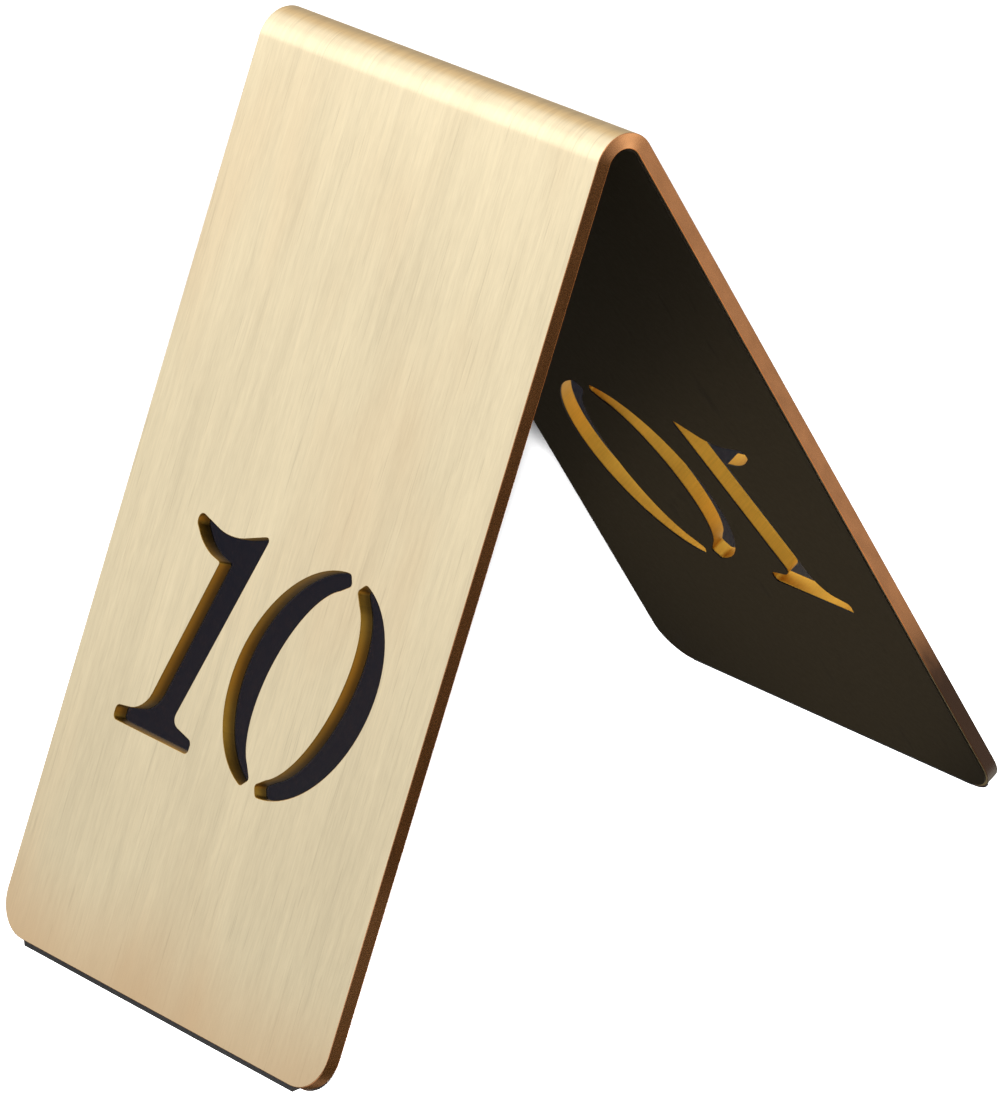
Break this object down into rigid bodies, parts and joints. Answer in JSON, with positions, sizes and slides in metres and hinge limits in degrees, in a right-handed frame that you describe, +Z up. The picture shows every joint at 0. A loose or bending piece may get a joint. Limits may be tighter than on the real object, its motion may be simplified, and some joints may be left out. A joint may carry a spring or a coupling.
{
  "type": "table number holder",
  "caption": "Folded sheet-brass tent that stands on a table and shows a stencil number cut through each leg, with a dark inner film and anti-slip foot beads.",
  "frame": {"origin": "on the table surface, at the middle of the tent's footprint", "axes": "+X along the fold, +Y from the front leg towards the rear leg, +Z up"},
  "size_m": [0.05, 0.0872, 0.0832],
  "materials": {
    "brushed_brass": "brushed along the legs, satin",
    "dark_film": "satin",
    "bead_rubber": "matte"
  },
  "bodies": {
    "root": {"folded_plate": "brushed_brass", "inner_film": "dark_film", "front_foot_bead": "bead_rubber", "rear_foot_bead": "bead_rubber"}
  },
  "joints": []
}
